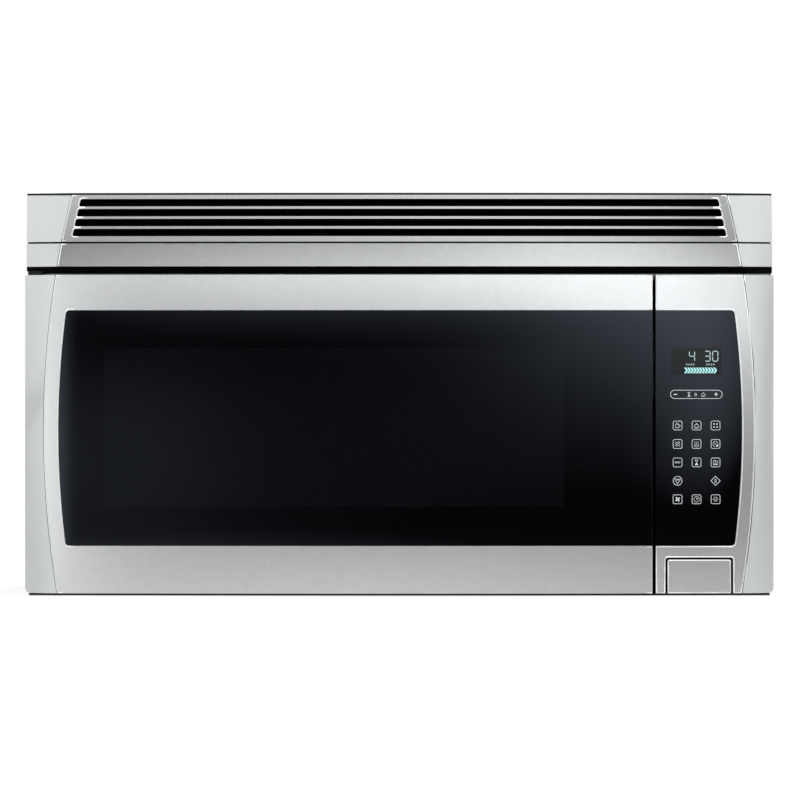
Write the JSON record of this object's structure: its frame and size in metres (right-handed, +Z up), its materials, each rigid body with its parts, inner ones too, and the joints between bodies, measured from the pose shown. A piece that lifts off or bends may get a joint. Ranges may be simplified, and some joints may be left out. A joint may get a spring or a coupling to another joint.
{
  "type": "over the range microwave",
  "caption": "Over-the-range microwave oven with a bowed stainless front, black glass door and control panel, push-button door release, vent grille, turntable and underside grease filters.",
  "frame": {"origin": "middle of the footprint on the underside plane", "axes": "+Z up, +X to the right seen from the front, front face towards -Y"},
  "size_m": [0.759, 0.395, 0.4074],
  "materials": {
    "stainless": "fine horizontal brushed grain",
    "silver_paint": "satin metallic paint over moulded plastic",
    "black_glass": "polished black glass",
    "black_plastic": "fine moulded texture",
    "black_steel": "satin black powder coat",
    "zinc_steel": "zinc plated sheet",
    "cavity_paint": "smooth oven enamel",
    "tray_glass": "clear tempered glass",
    "lamp_glass": "frosted lens",
    "aluminium": "expanded mesh in a rolled frame",
    "carbon": "black granules in a mesh",
    "circuit_board": "green solder mask",
    "mica": "flaky mica sheet",
    "spring_steel": "drawn steel",
    "white_plastic": "moulded white plastic"
  },
  "bodies": {
    "root": {"outer_case": "black_steel", "cord_grommet": "black_plastic", "rear_panel": "zinc_steel", "wall_mounting_plate": "zinc_steel", "base_plate": "black_steel", "lamp_cover": "lamp_glass", "cooktop_lamp": "lamp_glass", "front_cross_member": "zinc_steel", "charcoal_filter": "carbon", "upper_hinge_bracket": "black_steel", "lower_hinge_pin": "zinc_steel", "oven_cavity": "cavity_paint", "waveguide": "zinc_steel", "waveguide_cover": "mica", "magnetron": "zinc_steel", "inverter_board": "circuit_board", "turntable_motor": "zinc_steel", "blower_housing": "zinc_steel", "blower_motor": "black_steel", "fan_shroud": "black_plastic", "fan_motor": "black_steel", "interlock_bracket": "white_plastic", "door_switch_lower": "black_plastic", "door_switch_middle": "black_plastic", "door_switch_upper": "black_plastic", "cavity_lamp": "lamp_glass", "vent_grille": "silver_paint", "grille_skin": "stainless", "upper_trim_band": "silver_paint", "trim_band_skin": "stainless", "gap_strip": "black_plastic", "control_panel_frame": "silver_paint", "control_panel_skin": "stainless", "control_panel_glass": "black_glass", "keypad_membrane": "black_plastic", "display_module": "black_plastic", "control_board": "circuit_board", "button_spring": "spring_steel", "lever_pin": "spring_steel"},
    "door": {"door_frame": "silver_paint", "door_skin": "stainless", "door_glass": "black_glass", "door_inner_panel": "zinc_steel", "choke_cover": "black_plastic", "latch_spring": "spring_steel"},
    "latch": {"latch_bar": "black_plastic"},
    "release_button": {"door_release_button": "stainless"},
    "interlock": {"interlock_lever": "white_plastic"},
    "turntable": {"glass_tray": "tray_glass", "turntable_coupler": "white_plastic"},
    "ring": {"roller_ring": "white_plastic"},
    "wheel_1": {"roller_1": "white_plastic"},
    "wheel_2": {"roller_2": "white_plastic"},
    "wheel_3": {"roller_3": "white_plastic"},
    "blower": {"blower_shaft": "spring_steel", "blower_wheel_left": "zinc_steel", "blower_wheel_right": "zinc_steel"},
    "fan": {"fan_blade": "black_plastic"},
    "filter_left": {"grease_filter_left": "aluminium"},
    "filter_right": {"grease_filter_right": "aluminium"}
  },
  "joints": [
    {"name": "door_swing", "type": "hinge", "parent": "root", "child": "door", "pos_m": [-0.373, -0.166, 0.163], "axis": [0, 0, -1], "range_deg": [0, 105]},
    {"name": "button_press", "type": "slide", "parent": "root", "child": "release_button", "axis": [0, 1, 0], "range_m": [0, 0.004], "stiffness_N_per_m": 500, "springref_m": -0.004, "deforming": ["button_spring"]},
    {"name": "lever_swing", "type": "hinge", "parent": "root", "child": "interlock", "pos_m": [0.303, -0.1522, 0.06], "axis": [1, 0, 0], "range_deg": [0, 6.2]},
    {"name": "latch_lift", "type": "slide", "parent": "door", "child": "latch", "axis": [0, 0, 1], "range_m": [0, 0.005], "deforming": ["latch_spring"]},
    {"name": "turntable_spin", "type": "hinge", "parent": "root", "child": "turntable", "pos_m": [-0.065, 0.02125, 0.06], "axis": [0, 0, 1], "continuous": true},
    {"name": "ring_spin", "type": "hinge", "parent": "root", "child": "ring", "pos_m": [-0.065, 0.02125, 0.0575], "axis": [0, 0, 1], "continuous": true},
    {"name": "roller_1_spin", "type": "hinge", "parent": "ring", "child": "wheel_1", "pos_m": [-0.065, 0.13225, 0.0575], "axis": [0, 1, 0], "continuous": true},
    {"name": "roller_2_spin", "type": "hinge", "parent": "ring", "child": "wheel_2", "pos_m": [-0.16113, -0.03425, 0.0575], "axis": [-0.866, -0.5, 0], "continuous": true},
    {"name": "roller_3_spin", "type": "hinge", "parent": "ring", "child": "wheel_3", "pos_m": [0.03113, -0.03425, 0.0575], "axis": [0.866, -0.5, 0], "continuous": true},
    {"name": "blower_spin", "type": "hinge", "parent": "root", "child": "blower", "pos_m": [0, 0.061, 0.356], "axis": [1, 0, 0], "continuous": true},
    {"name": "cooling_fan_spin", "type": "hinge", "parent": "root", "child": "fan", "pos_m": [0.3, 0.17, 0.19], "axis": [0, 1, 0], "continuous": true},
    {"name": "filter_left_drop", "type": "slide", "parent": "root", "child": "filter_left", "axis": [0, 0, -1], "range_m": [0, 0.025]},
    {"name": "filter_right_drop", "type": "slide", "parent": "root", "child": "filter_right", "axis": [0, 0, -1], "range_m": [0, 0.025]}
  ],
  "couplings": [
    {"joint": "lever_swing", "follows": "button_press", "rad_per_m": 27.03},
    {"joint": "latch_lift", "follows": "button_press", "ratio": 1.25},
    {"joint": "ring_spin", "follows": "turntable_spin", "ratio": 0.5},
    {"joint": "roller_1_spin", "follows": "turntable_spin", "ratio": -6.9375},
    {"joint": "roller_2_spin", "follows": "turntable_spin", "ratio": -6.9375},
    {"joint": "roller_3_spin", "follows": "turntable_spin", "ratio": -6.9375}
  ]
}
